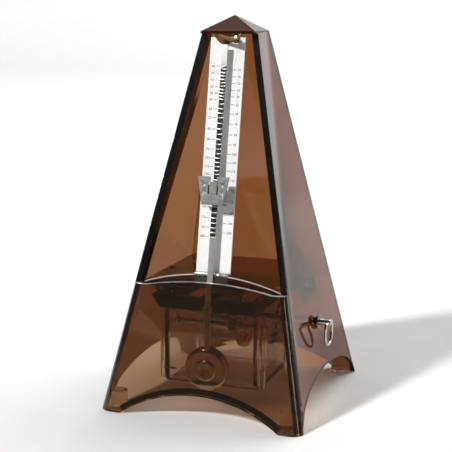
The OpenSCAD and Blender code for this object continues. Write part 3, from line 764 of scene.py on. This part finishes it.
def mark_centres():
    """The middle of each printed line, slowest tempo (highest) first."""
    mesh = bmesh.new()
    mesh.from_mesh(NODES["scale_marks"].data)
    bmesh.ops.remove_doubles(mesh, verts=mesh.verts, dist=0.0001 * MM)
    centres = []
    left = set(mesh.verts)
    while left:
        island = {left.pop()}
        edge = set(island)
        while edge:
            near = {e.other_vert(v) for v in edge for e in v.link_edges}
            edge = near - island
            island |= edge
        left -= island
        centres.append(sum((v.co for v in island), Vector()) / len(island))
    mesh.free()
    return sorted(centres, key=lambda c: -c.z)


def scale_up(marks):
    """The direction up the leaning scale, between two lines on the same side of it."""
    return (marks[0] - marks[-2]).normalized()


def number_mesh(tempo):
    """A flat number about its own middle, in the XY plane."""
    text = bpy.data.curves.new("number", "FONT")
    text.body = str(tempo)
    text.size = NUMBER_SIZE * MM
    text.align_x = "CENTER"
    text.align_y = "CENTER"
    text.extrude = NUMBER_T * MM
    text.resolution_u = 4
    label = bpy.data.objects.new("number", text)
    bpy.context.scene.collection.objects.link(label)
    graph = bpy.context.evaluated_depsgraph_get()
    mesh = bpy.data.meshes.new_from_object(label.evaluated_get(graph))
    bpy.data.objects.remove(label)
    return mesh


def build_numbers(materials, marks):
    """A tempo number beside each printed line, in one mesh that lies on the plate."""
    up = scale_up(marks)
    lean = math.atan2(up.y, up.z)
    joined = bmesh.new()
    for tempo, centre in zip(TEMPI, marks):
        mesh = number_mesh(tempo)
        side = 1 if centre.x > 0 else -1
        place = Matrix.Translation((side * NUMBER_X * MM, centre.y, centre.z))
        mesh.transform(place @ Matrix.Rotation(math.pi / 2 - lean, 4, "X"))
        joined.from_mesh(mesh)
        bpy.data.meshes.remove(mesh)
    mesh = bpy.data.meshes.new("tempo_numbers")
    joined.to_mesh(mesh)
    joined.free()
    numbers = bpy.data.objects.new("tempo_numbers", mesh)
    bpy.context.scene.collection.objects.link(numbers)
    paint(numbers, materials["print_black"])
    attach(numbers, "case")


# ---- CAD nodes that keep their shape -------------------------------------------------


# Material and width of the softened edges, in millimetres
KEPT = {
    "foot_pads": ("foot_clear", 0.4),
    "deck_plate": ("dark_smoked", 0.45),
    "deck_screws": ("steel", 0.1),
    "scale_plate": ("white_enamel", 0.12),
    "scale_marks": ("print_black", 0.0),
    "plate_foot": ("clip_plastic", 0.5),
    "top_retainer": ("dark_smoked", 0.2),
    "rod_catch": ("dark_brass", 0.12),
    "catch_stud": ("dark_brass", 0.1),
    "movement_tray": ("black_plastic", 0.25),
    "tray_pillars": ("steel", 0.1),
    "movement_housing": ("clear_plastic", 0.25),
    "housing_side_plate": ("clear_plastic", 0.2),
    "housing_screws": ("steel", 0.08),
    "verge_bushes": ("brass", 0.08),
    "verge_arbor": ("steel", 0.0),
    "verge_pallets": ("steel", 0.05),
    "rod_hub": ("brass", 0.12),
    "pendulum_rod": ("rod_steel", 0.04),
    "pendulum_bob": ("bob_bronze", 0.45),
    "bob_rivet": ("steel", 0.1),
    "weight_plate": ("weight_steel", 0.12),
    "weight_guide": ("black_plastic", 0.15),
    "weight_spring": ("spring_steel", 0.0),
    "winding_arbor": ("polished_steel", 0.0),
    "spring_barrel": ("brass", 0.15),
    "barrel_cover": ("brass", 0.1),
    "mainspring": ("spring_steel", 0.0),
    "great_wheel": ("brass", 0.0),
    "second_pinion": ("polished_steel", 0.0),
    "second_wheel": ("brass", 0.0),
    "escape_pinion": ("polished_steel", 0.0),
    "escape_wheel": ("brass", 0.0),
    "ratchet_wheel": ("steel", 0.0),
    "ratchet_click": ("steel", 0.06),
    "click_screw": ("steel", 0.08),
    "click_spring": ("spring_steel", 0.0),
    "wall_bush": ("dark_chrome", 0.25),
    "key_bail": ("polished_steel", 0.0),
}


def blacken_lands(rod, material, marks):
    """The rod's front is blacked between its first and last groove."""
    up = scale_up(marks)
    forward = Vector((0.0, -up.z, up.y))
    above_deck = [v.co for v in rod.data.vertices if v.co.z > SILL_Z * MM]
    front = max((point - marks[0]).dot(forward) for point in above_deck)
    rod.data.materials.append(material)
    for face in rod.data.polygons:
        centre = face.center
        gap = front - (centre - marks[0]).dot(forward)
        grooved = marks[-1].z < centre.z < marks[0].z
        if grooved and face.normal.y < -0.9 and gap < 0.1 * MM:
            face.material_index = 1


def dress_nodes(materials, marks):
    """Materials and softened edges for the nodes that keep their CAD shape."""
    for name, (material, width) in KEPT.items():
        node = NODES[name]
        paint(node, materials[material])
        if name == "pendulum_rod":
            blacken_lands(node, materials["rod_black"], marks)
        soften(node, width, weld=True)
        if name == "deck_plate":
            # The deck's rounded edges get a painted highlight.
            node.data.materials.append(materials["polished_edge"])
            node.modifiers["bevel"].material = 1


# ---- Stage and light ---------------------------------------------------------------


def floor_paper():
    """Pale paper with painted shade: darker in front of the object, where it would show in the plastic
    and would light the scale from below.
    """
    n = Nodes("floor_paper")
    shader = n.principled(Roughness=0.85)
    paper = n.ramp(n.noise(0.02), (0.76, 0.76, 0.76), (0.78, 0.78, 0.78))
    split = n.add("ShaderNodeSeparateXYZ")
    n.link(n.coords(), split.inputs["Vector"])
    # Painted shade: the paper darkens towards the front, as if that part of the floor lay unlit.
    reach = n.spread(split.outputs["Y"], 0.0, 1.0, start=-270.0, end=-140.0, curve="SMOOTHSTEP")
    n.link(n.blend(reach, (0.22, 0.22, 0.22), paper), shader.inputs["Base Color"])
    return n.finish(shader)


def add_floor():
    """A floor that turns up, far off, into a backdrop (metres)."""
    near = -4.0
    far = 3.0
    bend = 1.5
    top = 6.0
    half_width = 5.0
    steps = 12
    profile = [(near, 0.0), (far, 0.0)]
    for i in range(1, steps + 1):
        a = math.pi / 2 * i / steps
        profile.append((far + bend * math.sin(a), bend * (1 - math.cos(a))))
    profile.append((far + bend, top))
    verts = [(x / MM, y / MM, z / MM) for y, z in profile for x in (-half_width, half_width)]
    faces = [[2 * i, 2 * i + 1, 2 * i + 3, 2 * i + 2] for i in range(len(profile) - 1)]
    floor = mesh_object("floor", verts, faces)
    for face in floor.data.polygons:
        face.use_smooth = True
    paint(floor, floor_paper())


def add_lamp(data, towards):
    """A lamp that shines along a direction."""
    lamp = bpy.data.objects.new(data.name, data)
    lamp.rotation_euler = towards.to_track_quat("-Z", "Y").to_euler()
    bpy.context.scene.collection.objects.link(lamp)
    return lamp


def add_area(name, place, target, size, power, colour=(1.0, 1.0, 1.0)):
    data = bpy.data.lights.new(name, "AREA")
    data.shape = "RECTANGLE"
    data.size, data.size_y = size
    data.energy = power
    data.color = colour
    lamp = add_lamp(data, Vector(target) - Vector(place))
    lamp.location = place


def add_sun(name, azimuth, height, energy, width):
    """A sun, by its angles in degrees: azimuth from the front, height, and width."""
    data = bpy.data.lights.new(name, "SUN")
    data.energy = energy
    data.angle = math.radians(width)
    turn = math.radians(azimuth)
    rise = math.radians(height)
    level = math.cos(rise)
    add_lamp(data, Vector((-math.sin(turn) * level, math.cos(turn) * level, -math.sin(rise))))


def add_lights():
    centre = (0.0, 0.0, 0.1)
    warm = (1.0, 0.9, 0.76)
    add_sun("key", -30.0, 38.0, 3.3, 6.0)
    add_area("top", (0.9, 1.9, 2.2), centre, (2.2, 2.2), 48.0)
    add_area("right_strip", (1.1, -0.41, 0.35), centre, (0.2, 0.9), 2.0, warm)
    add_area("backdrop", (0.0, 1.8, 2.6), (0.0, 4.4, 0.8), (3.0, 0.8), 12.0)
    bpy.context.scene.world = make_world()


def make_world():
    """A studio that is bright behind and beside the object and dark in front of it."""
    world = bpy.data.worlds.new("studio")
    world.use_nodes = True
    tree = world.node_tree
    light = tree.nodes["Background"]
    light.inputs["Color"].default_value = (1.0, 1.0, 1.0, 1.0)
    place = tree.nodes.new("ShaderNodeTexCoord")
    split = tree.nodes.new("ShaderNodeSeparateXYZ")
    share = tree.nodes.new("ShaderNodeMapRange")
    share.interpolation_type = "SMOOTHSTEP"
    share.inputs["From Min"].default_value = -0.02
    share.inputs["From Max"].default_value = 0.7
    share.inputs["To Min"].default_value = 0.06
    share.inputs["To Max"].default_value = 1.4
    tree.links.new(place.outputs["Generated"], split.inputs["Vector"])
    tree.links.new(split.outputs["Y"], share.inputs["Value"])
    tree.links.new(share.outputs["Result"], light.inputs["Strength"])
    return world


# ---- The scene -----------------------------------------------------------------------


add_camera()
materials = make_materials()
build_case(materials)
build_corner_posts(materials)
build_edge_trim(materials)
build_arch_rim(materials)
build_bridge_rim(materials)
build_housing_columns(materials)
build_arbor_bushes(materials)
marks = mark_centres()
build_numbers(materials, marks)
dress_nodes(materials, marks)
add_floor()
add_lights()
bpy.context.scene.view_settings.view_transform = "Standard"
